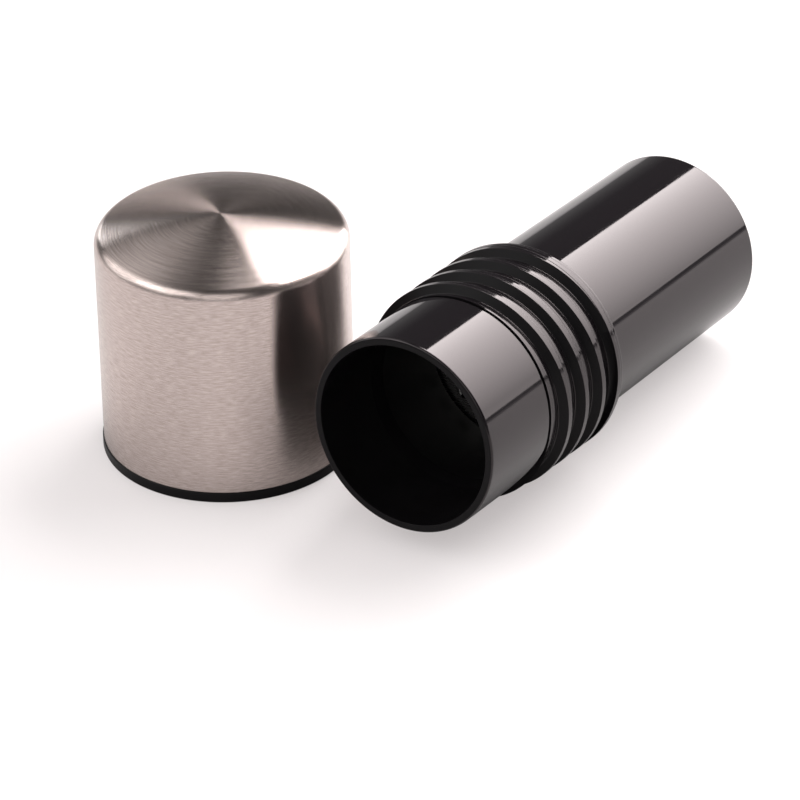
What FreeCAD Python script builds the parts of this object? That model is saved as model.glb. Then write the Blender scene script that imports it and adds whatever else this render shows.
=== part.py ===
import FreeCAD, Part
import math
import os
import re

import Sketcher
from FreeCAD import Placement, Rotation, Vector

# Twist spice mill, taken apart as it is for filling: the steel cap stands on its rim
# beside the mill body, and the body lies on its side, on its collar and its rear rim.
# Millimetres, +Z up, origin on the table under the middle of the group.
# The mill axis runs along +Y in plan, with the open mouth towards -Y.

DRIVING = {
    # where the two halves stand
    "capToMill": 59.25,          # cap centre to mill axis, across
    "capBehindMouth": 18.1,      # cap centre behind the mouth, along the mill

    # fits
    "slideFit": 0.1,             # radial gap of pieces that slide or turn by hand
    "glueGap": 0.05,             # radial gap between the cap's steel and its liner
    "endGap": 0.6,               # axial gap between pieces that turn past each other

    # spice chamber, the open front tube
    "mouthRadius": 23.1,
    "mouthWall": 1.8,
    "mouthRound": 0.7,
    "chamberSkirt": 23.3,        # length that shows in front of the joint
    "spigotWall": 1.6,
    "funnelLength": 3.0,
    "funnelBack": 3.3,           # from the joint to the start of the narrowing
    "keyWidth": 3.0,
    "keyHeight": 0.6,
    "keyLength": 10.0,
    "sealRingBack": 3.9,         # from the spigot's end to the O-ring
    "sealRingThick": 0.86,
    "sealRingDepth": 0.85,

    # gasket in the joint behind the skirt
    "gasketThick": 0.7,
    "gasketRecess": 0.4,

    # threaded collar
    "collarLength": 26.3,
    "collarInset": 1.2,          # how much smaller the collar's bore is than the chamber's outside
    "collarWall": 1.3,
    "threadDepth": 1.9,
    "crestWidth": 1.5,
    "flankSlope": 0.58,          # axial run of a flank for each unit of depth
    "threadPitch": 7.06,
    "threadLead": -0.22,         # from the collar's front face to the first flank
    "threadStart": 190.0,        # angle round the axis, from the side that faces +X
    "threadSink": 0.5,           # how far the ridge is rooted in the collar's wall
    "flangeWidth": 1.5,
    "flangeProud": 0.05,
    "flangeRound": 0.3,

    # running joint between collar and barrel
    "snapRingWidth": 1.0,
    "snapRingDepth": 0.75,
    "snapRingGap": 8.0,
    "snapRingBack": 2.7,         # from the collar's rear face to the ring's front face
    "washerThick": 0.9,
    "washerRecess": 0.6,
    "washerWidth": 1.7,

    # barrel, the long rear tube that is turned by hand
    "millLength": 115.5,
    "barrelStep": 0.2,           # how much slimmer the barrel is than its neck
    "barrelTaper": 0.45,         # how much the radius falls towards the rear end
    "barrelWall": 2.4,
    "barrelEdge": 0.6,
    "beadSet": 0.45,             # how far the bead stays inside the collar's flange
    "beadWidth": 1.1,
    "neckLip": 1.0,              # wall in front of the snap ring
    "earCount": 3,
    "earReach": 4.4,
    "earWidth": 7.0,
    "earThick": 2.0,

    # grating blade and its carrier
    "bladeThick": 0.3,
    "bladeGap": 0.7,
    "toothLength": 2.4,
    "toothWidth": 0.8,
    "toothRings": 4,
    "toothRingStep": 4.0,
    "toothsInFirstRing": 6,
    "toothRingOffset": 5.6,
    "carrierThick": 2.8,
    "carrierRing": 1.6,
    "spokeWidth": 5.0,
    "hubRadius": 3.6,
    "hubLength": 4.2,
    "screwRadius": 1.0,
    "screwHeadRadius": 1.9,
    "screwHeadHeight": 1.3,
    "screwHeadRoom": 0.3,
    "bladeScrewRadius": 1.25,

    # plug that closes the barrel's rear end
    "plugSeat": 11.0,            # depth of the seat from the rear rim
    "seatStep": 0.5,
    "plugRecess": 1.6,
    "plugFloor": 2.0,
    "plugWall": 1.9,
    "plugGrip": 3.2,
    "plugRingBack": 5.5,

    # steel cap
    "capHeight": 57.8,
    "capCrown": 4.76,            # how much the top rises from its edge to its middle
    "steelThick": 0.6,
    "capRound": 2.84,
    "footHeight": 2.4,
    "footProud": 0.25,
    "footRound": 0.3,
    "linerTop": 2.5,
    "topRoom": 1.09,             # from the liner's flat top to the edge of the crowned steel
    "skirtWall": 2.15,           # wall of the liner round the thread's lead-in
    "threadGap": 0.35,           # radial gap between the cap's thread and the collar
    "threadPlay": 0.4,           # how much wider the cap's groove is than the ridge
    "threadSpare": 1.8,          # length of the collar that the cap's thread leaves free
    "linerRelief": 0.85,
    "leadInRoom": 0.2,
    "leadInHeight": 1.2,
    "capGasketThick": 1.0,
    "capGasketOverlap": 0.7,

    # spring-loaded pusher inside the cap
    "guideBore": 8.0,
    "guideWall": 1.6,
    "guideLength": 21.85,
    "guideLip": 2.0,
    "guideFlangeThick": 2.2,
    "guideScrewCount": 3,
    "guideScrewBite": 2.2,
    "stemFlats": 12.0,
    "stemHead": 3.0,
    "discGap": 0.7,              # radial gap between the pusher and the narrow bore
    "discThick": 2.6,
    "spikePlateSet": 0.5,        # how far the plate's edge stays inside the disc
    "spikePlateThick": 0.5,
    "spikeStop": 0.85,           # gap between the points and the blade, cap closed
    "spikeHeight": 1.2,
    "spikeRadius": 0.8,
    "spikeTip": 0.15,
    "spikeRings": 2,
    "spikesInFirstRing": 6,
    "spikeRingStep": 7.0,
    "spikeRingOffset": 8.5,
    "pusherScrewRadius": 1.5,
    "pusherScrewHead": 2.9,
    "pusherScrewHeadHeight": 1.0,
    "pusherScrewLength": 12.0,
    "springWire": 1.0,
    "springRoom": 1.2,
    "springTurns": 6.0,
    "springWasherThick": 0.5,
}

doc = FreeCAD.newDocument("SpiceMill")
sheet = doc.addObject("Spreadsheet::Sheet", "Sizes")
for row, (name, size) in enumerate(DRIVING.items(), 1):
    sheet.set(f"A{row}", name)
    sheet.set(f"B{row}", str(size))
    sheet.setAlias(f"B{row}", name)
doc.recompute()

# Places that follow from the driving sizes, as formulas over the same cells.
DERIVED = {
    "mouthBore": "(mouthRadius - mouthWall)",
    "boreStep": "(chamberSkirt - funnelBack)",
    "collarFront": "(chamberSkirt + gasketThick)",
    "collarRear": "(collarFront + collarLength)",
    "collarBore": "(mouthRadius - collarInset)",
    "rootRadius": "(collarBore + collarWall)",
    "crestRadius": "(rootRadius + threadDepth)",
    "flangeRadius": "(crestRadius + flangeProud)",
    # the ridge ends where its crest runs into the flange
    "threadTurns": "((collarLength - flangeWidth - threadLead - flankSlope * threadDepth) / threadPitch)",
    "spigotRadius": "(collarBore - slideFit)",
    "spigotBore": "(spigotRadius - spigotWall)",
    "keyStart": "(collarFront + endGap)",
    "snapRingFront": "(collarRear - snapRingBack)",
    "neckStart": "(snapRingFront - neckLip)",
    "carrierFront": "(neckStart - carrierThick)",
    "bladeFront": "(carrierFront - bladeThick)",
    "chamberLength": "(bladeFront - endGap)",
    "sealRingPlace": "(chamberLength - sealRingBack)",
    "washerBore": "(collarBore + slideFit)",
    "washerRadius": "(washerBore + washerWidth)",
    "beadFront": "(collarRear + 0.5 * endGap)",
    "beadRadius": "(flangeRadius - beadSet)",
    "neckRadius": "(collarBore - slideFit)",
    "barrelRadius": "(neckRadius - barrelStep)",
    "barrelEndRadius": "(barrelRadius - barrelTaper)",
    "barrelBore": "(neckRadius - barrelWall)",
    "earHolePlace": "(barrelBore - screwHeadRadius - 0.5 * slideFit - 1.5 * screwHeadRoom)",
    "bladeRadius": "(collarBore - bladeGap)",
    "seatFront": "(millLength - plugSeat)",
    "seatRadius": "(barrelBore + seatStep)",
    "plugRadius": "(seatRadius - slideFit)",
    "plugRear": "(millLength - plugRecess)",
    "linerRadius": "(leadInRadius + skirtWall)",
    "capRadius": "(linerRadius + glueGap + steelThick)",
    "footRadius": "(capRadius + footProud)",
    "capEdge": "(capHeight - capCrown)",
    "linerUnder": "(capEdge - steelThick - topRoom - linerTop)",
    "threadBore": "(rootRadius + threadGap)",
    "linerThreadHeight": "(collarLength - threadSpare)",
    "linerUpperBore": "(threadBore + linerRelief)",
    "leadInRadius": "(crestRadius + threadPlay + leadInRoom)",
    "capGasketInner": "(mouthBore - capGasketOverlap)",
    "guideTop": "linerUnder",
    "guideBottom": "(guideTop - guideLength)",
    "guideRadius": "(guideBore + guideWall)",
    "guideScrewPlace": "(guideRadius + screwHeadRadius + screwHeadRoom)",
    "guideFlangeRadius": "(guideScrewPlace + screwHeadRadius + screwHeadRoom)",
    "headBottom": "(guideBottom + guideLip)",
    "headTop": "(headBottom + stemHead)",
    "discRadius": "(spigotBore - discGap)",
    "spikePlateRadius": "(discRadius - spikePlateSet)",
    # heights in the cap are measured from the table; closed, the mouth meets the cap's gasket
    "bladeInCap": "(linerUnder - capGasketThick - bladeFront)",
    "spikePlateHeight": "(bladeInCap + spikeStop + spikeHeight)",
    "discTop": "(spikePlateHeight + spikePlateThick + discThick)",
    "springCoilRadius": "(guideBore - springRoom - 0.5 * springWire)",
    # the body touches the table with its collar flange and the round of its rear rim
    "restStep": "(flangeRadius - barrelEndRadius + barrelEdge)",
    "restSpan": "(millLength - barrelEdge - collarRear + flangeRound)",
    "restReach": "sqrt(restStep ^ 2 + restSpan ^ 2)",
    "millTilt": "(atan(restStep / restSpan) - asin(barrelEdge / restReach))",
    "millTouch": "(collarRear - flangeRound)",
    "millReach": "((millLength - barrelEdge) * cos(millTilt)"
                 " + (barrelEndRadius - barrelEdge) * sin(millTilt) + barrelEdge)",
    "capX": "(0.5 * (footRadius - capToMill - flangeRadius))",
    "millX": "(capX + capToMill)",
    "mouthY": "(0.5 * (footRadius - capBehindMouth - millReach))",
    "capY": "(mouthY + capBehindMouth)",
    "mouthZ": "((flangeRadius - flangeRound) * cos(millTilt) + flangeRound"
              " + millTouch * sin(millTilt))",
}


def formula(text):
    """Write a size formula out in spreadsheet cells."""
    while True:
        longer = re.sub(r"[A-Za-z]\w*", lambda word: DERIVED.get(word.group(), word.group()), str(text))
        if longer == text:
            break
        text = longer
    return re.sub(r"[A-Za-z]\w*", lambda word: f"Sizes.{word.group()}" if word.group() in DRIVING
                  else word.group(), text)


def number(text):
    found = sheet.evalExpression(formula(text).replace("Sizes.", ""))
    return float(getattr(found, "Value", found))


def bind(thing, path, text):
    thing.setExpression(path, formula(text))


def place(thing, on, along="0", across="0", back="0"):
    """Stand a sub-part on the mill axis, or upright in the cap."""
    if on == "mill":
        thing.Placement = Placement(Vector(), Rotation(Vector(-1, 0, 0), 90 + number("millTilt")))
        bind(thing, ".Placement.Rotation.Angle", "90 deg + millTilt")
        bind(thing, ".Placement.Base.x", "millX")
        bind(thing, ".Placement.Base.y", f"mouthY + ({along}) * cos(millTilt)")
        bind(thing, ".Placement.Base.z", f"mouthZ - ({along}) * sin(millTilt)")
    else:
        bind(thing, ".Placement.Base.x", f"capX + {across}")
        bind(thing, ".Placement.Base.y", f"capY + {back}")
        bind(thing, ".Placement.Base.z", along)


def plane(body, role):
    return next(part for part in body.Origin.OriginFeatures if part.Role == role)


def new_sketch(body, name, role, height="0", turn="0"):
    """An empty sketch on one of the body's own planes."""
    sketch = body.newObject("Sketcher::SketchObject", name)
    sketch.AttachmentSupport = [(plane(body, role), "")]
    sketch.MapMode = "FlatFace"
    if turn != "0":
        sketch.AttachmentOffset = Placement(Vector(), Rotation(Vector(0, 1, 0), number(turn)))
        bind(sketch, ".AttachmentOffset.Rotation.Angle", turn)
    if height != "0":
        bind(sketch, ".AttachmentOffset.Base.z", height)
    return sketch


def tie(sketch, index, end, x, y):
    """Hold one point of a sketch at two formulas."""
    for kind, text, axis in (("DistanceX", x, -2), ("DistanceY", y, -1)):
        if text == "0":
            sketch.addConstraint(Sketcher.Constraint("PointOnObject", index, end, axis))
        else:
            made = sketch.addConstraint(Sketcher.Constraint(kind, -1, 1, index, end, number(text)))
            bind(sketch, f"Constraints[{made}]", text)


def outline(sketch, points, domes=()):
    """A closed outline of straight lines through points given as formulas.
    The sides numbered in domes are arcs that meet the axis square to it."""
    first = sketch.GeometryCount
    places = [Vector(number(x), number(y), 0) for x, y in points]
    starts = [1] * len(places)
    for index, start in enumerate(places):
        end = places[(index + 1) % len(places)]
        side = Part.LineSegment(start, end)
        if index in domes:
            rim, top = (start, end) if end.x < start.x else (end, start)
            rise = top.y - rim.y
            radius = (rim.x ** 2 + rise ** 2) / (2 * rise)
            circle = Part.Circle(Vector(0, top.y - radius, 0), Vector(0, 0, 1), radius)
            side = Part.ArcOfCircle(circle, math.acos(rim.x / radius), 0.5 * math.pi)
            starts[index] = 1 if rim is start else 2
        sketch.addGeometry(side)
    for index in range(len(places)):
        following = (index + 1) % len(places)
        sketch.addConstraint(Sketcher.Constraint("Coincident", first + index, 3 - starts[index],
                                                 first + following, starts[following]))
    for index in domes:
        sketch.addConstraint(Sketcher.Constraint("PointOnObject", first + index, 3, -2))
    for index, (x, y) in enumerate(points):
        tie(sketch, first + index, starts[index], x, y)


def ring(sketch, radius, x="0", y="0"):
    """A circle in a sketch, its radius and centre given as formulas."""
    index = sketch.addGeometry(Part.Circle(Vector(number(x), number(y), 0), Vector(0, 0, 1), number(radius)))
    tie(sketch, index, 3, x, y)
    made = sketch.addConstraint(Sketcher.Constraint("Radius", index, number(radius)))
    bind(sketch, f"Constraints[{made}]", radius)


def new_body(name, on, **offsets):
    body = doc.addObject("PartDesign::Body", name)
    body.Label = name
    body.AllowCompound = True
    place(body, on, **offsets)
    return body


def turned(body, name, points, kind="PartDesign::Revolution", domes=()):
    """Turn a half section, radius and height, about the body's own Z."""
    sketch = new_sketch(body, f"{name}_section", "XZ_Plane")
    outline(sketch, points, domes)
    feature = body.newObject(kind, name)
    feature.Profile = sketch
    feature.ReferenceAxis = (sketch, ["V_Axis"])
    feature.Angle = 360
    doc.recompute()
    return feature


def tube(body, name, outer, inner, low, high):
    return turned(body, name, [(inner, low), (outer, low), (outer, high), (inner, high)])


def extrude(body, kind, sketch, name, length, reverse=False):
    """Pad or pocket a sketch and make sure that it did something."""
    before = body.Tip.Shape.Volume if body.Tip else 0
    feature = body.newObject(kind, name)
    feature.Profile = sketch
    feature.Reversed = reverse
    bind(feature, "Length", length)
    doc.recompute()
    if abs(feature.Shape.Volume - before) < 1e-6:
        raise RuntimeError(f"{name} changed nothing")
    return feature


def repeat(body, features, name, count):
    """Repeat features round the body's own Z."""
    pattern = body.newObject("PartDesign::PolarPattern", name)
    pattern.Originals = features
    pattern.Axis = (plane(body, "Z_Axis"), [""])
    pattern.Angle = 360
    bind(pattern, "Occurrences", count)
    body.Tip = pattern
    doc.recompute()
    return pattern


def edges_at(feature, radius, height):
    """Names of the full circles of one radius at one height."""
    found = []
    for index, edge in enumerate(feature.Shape.Edges, 1):
        if edge.Degenerated:
            continue
        curve = edge.Curve
        if not isinstance(curve, Part.Circle):
            continue
        if abs(curve.Radius - number(radius)) < 1e-4 and abs(curve.Center.z - number(height)) < 1e-4:
            found.append(f"Edge{index}")
    return found


def rounded(body, base, name, circles, radius):
    """Round the circles given as pairs of radius and height."""
    feature = body.newObject("PartDesign::Fillet", name)
    feature.Base = (base, [edge for circle in circles for edge in edges_at(base, *circle)])
    bind(feature, "Radius", radius)
    doc.recompute()
    return feature


def spice_chamber():
    body = new_body("spice_chamber", "mill")
    step = "boreStep + funnelLength"
    tube_section = [
        ("mouthBore", "0"), ("mouthRadius", "0"), ("mouthRadius", "chamberSkirt"),
        ("spigotRadius", "chamberSkirt"), ("spigotRadius", "chamberLength"),
        ("spigotBore", "chamberLength"), ("spigotBore", step), ("mouthBore", "boreStep")]
    base = turned(body, "chamber_tube", tube_section)
    base = rounded(body, base, "mouth_edge", [("mouthRadius", "0")], "mouthRound")

    sketch = new_sketch(body, "key_section", "XY_Plane", height="keyStart")
    half = "0.5 * keyWidth"
    root = "spigotRadius - keyHeight"
    tip = "spigotRadius + keyHeight"
    outline(sketch, [(root, f"-{half}"), (tip, f"-{half}"), (tip, half), (root, half)])
    extrude(body, "PartDesign::Pad", sketch, "key", "keyLength")

    groove = "sealRingPlace - 0.5 * sealRingThick"
    end = "sealRingPlace + 0.5 * sealRingThick"
    floor = "spigotRadius - sealRingDepth"
    turned(body, "seal_groove", [(floor, groove), ("collarBore", groove), ("collarBore", end), (floor, end)],
           "PartDesign::Groove")


def seal(name, on_axis, outer, thick, along):
    """An O-ring that lies just inside the bore that it seals."""
    body = doc.addObject("Part::Torus", name)
    body.Label = name
    bind(body, "Radius1", f"{outer} - 0.5 * {thick} - 0.5 * slideFit")
    bind(body, "Radius2", f"0.5 * {thick} - 0.5 * slideFit")
    place(body, on_axis, along=along)


def joint_gasket():
    body = new_body("joint_gasket", "mill")
    tube(body, "gasket_ring", "mouthRadius - gasketRecess", "collarBore + slideFit",
         "chamberSkirt", "collarFront - 0.5 * slideFit")


def thread_ridge(sketch, foot, depth, extra, low):
    """The thread's section: a flat crest between two sloping flanks."""
    foot_half = f"(0.5 * crestWidth + {extra} + flankSlope * ({depth}))"
    crest_half = f"(0.5 * crestWidth + {extra})"
    middle = f"({low} + 0.5 * crestWidth + flankSlope * threadDepth)"
    outline(sketch, [
        (foot, f"{middle} - {foot_half}"), (f"{foot} + {depth}", f"{middle} - {crest_half}"),
        (f"{foot} + {depth}", f"{middle} + {crest_half}"), (foot, f"{middle} + {foot_half}")])


def thread_collar():
    body = new_body("thread_collar", "mill")
    flange_front = "collarRear - flangeWidth"
    base = turned(body, "collar_tube", [
        ("collarBore", "collarFront"), ("rootRadius", "collarFront"), ("rootRadius", flange_front),
        ("flangeRadius", flange_front), ("flangeRadius", "collarRear"), ("collarBore", "collarRear")])
    rounded(body, base, "flange_edge", [("flangeRadius", "collarRear")], "flangeRound")

    sketch = new_sketch(body, "ridge_section", "XZ_Plane", turn="threadStart")
    thread_ridge(sketch, "rootRadius - threadSink", "(threadDepth + threadSink)", "0",
                 "collarFront + threadLead")
    ridge = body.newObject("PartDesign::AdditiveHelix", "thread")
    ridge.Profile = sketch
    ridge.ReferenceAxis = (sketch, ["V_Axis"])
    ridge.Mode = "pitch-turns-angle"
    bind(ridge, "Pitch", "threadPitch")
    bind(ridge, "Turns", "threadTurns")
    doc.recompute()

    inside = "collarBore - slideFit"
    for name, low, high in (("front_face", "collarFront - 2 * threadDepth", "collarFront"),
                            ("rear_face", "collarRear", "collarRear + 2 * threadDepth")):
        turned(body, name, [(inside, low), ("flangeRadius + slideFit", low),
                            ("flangeRadius + slideFit", high), (inside, high)], "PartDesign::Groove")
    recess = "collarRear - washerRecess"
    edge = "washerRadius + slideFit"
    turned(body, "washer_recess", [(inside, recess), (edge, recess), (edge, "collarRear + slideFit"),
                                   (inside, "collarRear + slideFit")], "PartDesign::Groove")
    front = "snapRingFront - 0.5 * slideFit"
    rear = "snapRingFront + snapRingWidth + 0.5 * slideFit"
    floor = "collarBore + snapRingDepth"
    turned(body, "snap_ring_groove", [(inside, front), (floor, front), (floor, rear), (inside, rear)],
           "PartDesign::Groove")

    sketch = new_sketch(body, "keyway_section", "XY_Plane", height="keyStart + keyLength + slideFit")
    half = "(0.5 * keyWidth + slideFit)"
    outer = "spigotRadius + keyHeight + slideFit"
    inner = "spigotRadius - keyHeight"
    outline(sketch, [(inner, f"-{half}"), (outer, f"-{half}"), (outer, half), (inner, half)])
    extrude(body, "PartDesign::Pocket", sketch, "keyway",
            "keyStart + keyLength + slideFit - collarFront + slideFit")


def split_ring():
    """The snap ring that holds the barrel in the collar and lets it turn."""
    body = new_body("snap_ring", "mill")
    tube(body, "snap_ring_turned", "collarBore + snapRingDepth - slideFit", "neckRadius - snapRingDepth + slideFit",
         "snapRingFront", "snapRingFront + snapRingWidth")
    sketch = new_sketch(body, "gap_section", "XY_Plane", height="snapRingFront + snapRingWidth + slideFit")
    half = "0.5 * snapRingGap"
    outline(sketch, [("0", f"-{half}"), ("crestRadius", f"-{half}"), ("crestRadius", half), ("0", half)])
    extrude(body, "PartDesign::Pocket", sketch, "ring_gap", "snapRingWidth + 2 * slideFit")


def glide_washer():
    body = new_body("glide_washer", "mill")
    tube(body, "washer_ring", "washerRadius", "washerBore",
         "collarRear - washerRecess", "collarRear - washerRecess + washerThick - 0.5 * slideFit")


def barrel():
    body = new_body("barrel", "mill")
    bead_rear = "beadFront + beadWidth"
    edge = "millLength - barrelEdge"
    section = [
        ("barrelBore", "neckStart"), ("neckRadius", "neckStart"), ("neckRadius", "beadFront"),
        ("beadRadius", "beadFront"), ("beadRadius", bead_rear), ("barrelRadius", bead_rear),
        ("barrelEndRadius", edge), ("barrelEndRadius", "millLength"), ("seatRadius", "millLength"),
        ("seatRadius", "seatFront"), ("barrelBore", "seatFront")]
    base = turned(body, "barrel_tube", section)
    base = rounded(body, base, "rear_edge", [("barrelEndRadius", "millLength")], "0.95 * barrelEdge")
    rounded(body, base, "bead_edge", [("beadRadius", "beadFront"), ("beadRadius", bead_rear)],
            "0.25 * beadWidth")

    front = "snapRingFront - 0.5 * slideFit"
    rear = "snapRingFront + snapRingWidth + 0.5 * slideFit"
    floor = "neckRadius - snapRingDepth"
    turned(body, "neck_groove", [(floor, front), ("collarBore", front), ("collarBore", rear), (floor, rear)],
           "PartDesign::Groove")

    sketch = new_sketch(body, "ear_section", "XY_Plane", height="neckStart")
    half = "0.5 * earWidth"
    reach = "barrelBore - earReach"
    outline(sketch, [(reach, f"-{half}"), ("barrelBore + 0.5 * slideFit", f"-{half}"),
                     ("barrelBore + 0.5 * slideFit", half), (reach, half)])
    ring(sketch, "screwRadius + 0.5 * slideFit", "earHolePlace")
    ear = extrude(body, "PartDesign::Pad", sketch, "ear", "earThick")
    repeat(body, [ear], "ears", "earCount")


def blade_disc():
    """A thin disc with rings of slots, one behind each etched tooth."""
    body = new_body("blade_disc", "mill")
    tube(body, "disc", "bladeRadius", "bladeScrewRadius + 0.5 * slideFit", "bladeFront", "carrierFront")
    for number_of_ring in range(int(number("toothRings"))):
        name = f"slot_ring_{number_of_ring + 1}"
        sketch = new_sketch(body, f"{name}_section", "XY_Plane", height="carrierFront")
        middle = f"(toothRingOffset + {number_of_ring} * toothRingStep)"
        half_long, half_wide = "0.5 * toothWidth", "0.5 * toothLength"
        outline(sketch, [
            (f"{middle} - {half_long}", f"-{half_wide}"), (f"{middle} + {half_long}", f"-{half_wide}"),
            (f"{middle} + {half_long}", half_wide), (f"{middle} - {half_long}", half_wide)])
        slot = extrude(body, "PartDesign::Pocket", sketch, f"{name}_slot", "2 * bladeThick")
        slot.Midplane = True
        repeat(body, [slot], name, f"toothsInFirstRing * {number_of_ring + 1}")


def blade_carrier():
    """Ring, hub and spokes under the blade; each spoke is screwed to an ear of the barrel."""
    body = new_body("blade_carrier", "mill")
    tube(body, "carrier_rim", "bladeRadius", "bladeRadius - carrierRing", "carrierFront", "neckStart")
    tube(body, "hub", "hubRadius", "bladeScrewRadius + 0.5 * slideFit", "carrierFront",
         "carrierFront + hubLength")
    sketch = new_sketch(body, "spoke_section", "XY_Plane", height="carrierFront")
    half = "0.5 * spokeWidth"
    inner, outer = "0.8 * hubRadius", "bladeRadius - 0.5 * carrierRing"
    outline(sketch, [(inner, f"-{half}"), (outer, f"-{half}"), (outer, half), (inner, half)])
    ring(sketch, "screwRadius + 0.5 * slideFit", "earHolePlace")
    spoke = extrude(body, "PartDesign::Pad", sketch, "spoke", "neckStart - carrierFront")
    repeat(body, [spoke], "spokes", "earCount")


def screw_at(body, name, head, head_radius, shank_radius, head_face, tip, place_at, count):
    """Screws side by side round the axis: a flat round head and a plain shank."""
    sketch = new_sketch(body, f"{name}_head_section", "XY_Plane", height=head_face)
    ring(sketch, head_radius, place_at)
    head_pad = extrude(body, "PartDesign::Pad", sketch, f"{name}_head", head, reverse=number(tip) > number(head_face))
    sketch = new_sketch(body, f"{name}_shank_section", "XY_Plane", height=head_face)
    ring(sketch, shank_radius, place_at)
    length = f"abs({tip} - ({head_face}))"
    shank = extrude(body, "PartDesign::Pad", sketch, f"{name}_shank", length, reverse=number(tip) < number(head_face))
    if count != "1":
        repeat(body, [head_pad, shank], f"{name}_all", count)


def blade_screw():
    body = new_body("blade_screw", "mill")
    screw_at(body, "blade_screw_turned", "0.5 * bladeThick + 0.25 * endGap", "2 * bladeScrewRadius",
             "bladeScrewRadius", "bladeFront", "carrierFront + hubLength - slideFit", "0", "1")


def carrier_screws():
    body = new_body("carrier_screws", "mill")
    screw_at(body, "carrier_screw", "screwHeadHeight", "screwHeadRadius", "screwRadius",
             "neckStart + earThick", "carrierFront + slideFit", "earHolePlace", "earCount")


def base_plug():
    """The plug is pulled out by the bar between its two half-round pockets."""
    body = new_body("base_plug", "mill")
    front = "seatFront + 0.5 * slideFit"
    base = turned(body, "plug_disc", [("0", front), ("plugRadius", front), ("plugRadius", "plugRear"),
                                      ("0", "plugRear")])
    rounded(body, base, "plug_edge", [("plugRadius", "plugRear")], "0.5 * barrelEdge")
    for side in ("", "-"):
        name = "pocket_right" if side == "" else "pocket_left"
        sketch = new_sketch(body, f"{name}_section", "XY_Plane", height="plugRear")
        radius = number("plugRadius - plugWall")
        half = number("0.5 * plugGrip")
        sign = -1 if side else 1
        reach = (radius ** 2 - half ** 2) ** 0.5
        top, bottom = Vector(sign * half, reach, 0), Vector(sign * half, -reach, 0)
        sketch.addGeometry(Part.LineSegment(bottom, top))
        arc = Part.Arc(bottom, Vector(sign * radius, 0, 0), top)
        sketch.addGeometry(arc)
        low_end, high_end = (1, 2) if sign > 0 else (2, 1)
        sketch.addConstraint(Sketcher.Constraint("Coincident", 0, 1, 1, low_end))
        sketch.addConstraint(Sketcher.Constraint("Coincident", 0, 2, 1, high_end))
        sketch.addConstraint(Sketcher.Constraint("Coincident", 1, 3, -1, 1))
        sketch.addConstraint(Sketcher.Constraint("Vertical", 0))
        made = sketch.addConstraint(Sketcher.Constraint("Radius", 1, radius))
        bind(sketch, f"Constraints[{made}]", "plugRadius - plugWall")
        made = sketch.addConstraint(Sketcher.Constraint("DistanceX", -1, 1, 0, 1, sign * half))
        bind(sketch, f"Constraints[{made}]", f"{side}0.5 * plugGrip")
        extrude(body, "PartDesign::Pocket", sketch, name, "plugRear - plugFloor - seatFront")

    low = "millLength - plugRingBack - 0.5 * sealRingThick"
    high = "millLength - plugRingBack + 0.5 * sealRingThick"
    floor = "plugRadius - sealRingDepth"
    turned(body, "plug_ring_groove", [(floor, low), ("seatRadius", low), ("seatRadius", high), (floor, high)],
           "PartDesign::Groove")


def cap_shell():
    """A deep-drawn steel cup with a crowned top, open below."""
    body = new_body("cap_shell", "cap")
    inside = "capRadius - steelThick"
    base = turned(body, "steel_cup", [
        ("0", "capHeight - steelThick"), (inside, "capEdge - steelThick"), (inside, "footHeight"),
        ("capRadius", "footHeight"), ("capRadius", "capEdge"), ("0", "capHeight")], domes=(0, 4))
    base = rounded(body, base, "cup_edge", [("capRadius", "capEdge")], "capRound")
    rounded(body, base, "cup_inner_edge", [(inside, "capEdge - steelThick")], "capRound - steelThick")


def cap_liner():
    """The plastic sleeve that carries the cap's thread and its foot ring."""
    body = new_body("cap_liner", "cap")
    top = "linerUnder + linerTop"
    base = turned(body, "liner_cup", [
        ("leadInRadius", "0"), ("footRadius", "0"), ("footRadius", "footHeight - 0.5 * glueGap"),
        ("linerRadius", "footHeight - 0.5 * glueGap"), ("linerRadius", top), ("0", top),
        ("0", "linerUnder"), ("linerUpperBore", "linerUnder"), ("linerUpperBore", "linerThreadHeight"),
        ("threadBore", "linerThreadHeight"), ("threadBore", "leadInHeight"),
        ("leadInRadius", "leadInHeight")])
    base = rounded(body, base, "foot_edge", [("footRadius", "footHeight - 0.5 * glueGap")], "footRound")
    rounded(body, base, "liner_shoulder", [("linerRadius", top)], "capRound - steelThick - glueGap")

    sketch = new_sketch(body, "groove_section", "XZ_Plane")
    depth = "(crestRadius + threadPlay - threadBore + threadSink)"
    thread_ridge(sketch, "threadBore - threadSink", depth, "0.5 * threadPlay", "leadInHeight - threadPitch")
    groove = body.newObject("PartDesign::SubtractiveHelix", "cap_thread")
    groove.Profile = sketch
    groove.ReferenceAxis = (sketch, ["V_Axis"])
    groove.Mode = "pitch-height-angle"
    bind(groove, "Pitch", "threadPitch")
    bind(groove, "Height", "linerThreadHeight + threadPitch")
    doc.recompute()

    sketch = new_sketch(body, "screw_hole_section", "XY_Plane", height="linerUnder")
    ring(sketch, "screwRadius + 0.5 * slideFit", "guideScrewPlace")
    hole = extrude(body, "PartDesign::Pocket", sketch, "screw_hole", "guideScrewBite + slideFit", reverse=True)
    repeat(body, [hole], "screw_holes", "guideScrewCount")


def cap_gasket():
    body = new_body("cap_gasket", "cap")
    tube(body, "cap_gasket_ring", "linerUpperBore - slideFit", "capGasketInner",
         "linerUnder - capGasketThick", "linerUnder")


def hexagon(sketch, flats):
    """A hexagon across flats, with two corners on the sketch's own x."""
    corner = f"({flats}) / sqrt(3)"
    outline(sketch, [
        (corner, "0"), (f"0.5 * {corner}", f"0.5 * {flats}"), (f"-0.5 * {corner}", f"0.5 * {flats}"),
        (f"-{corner}", "0"), (f"-0.5 * {corner}", f"-0.5 * {flats}"), (f"0.5 * {corner}", f"-0.5 * {flats}")])


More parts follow.
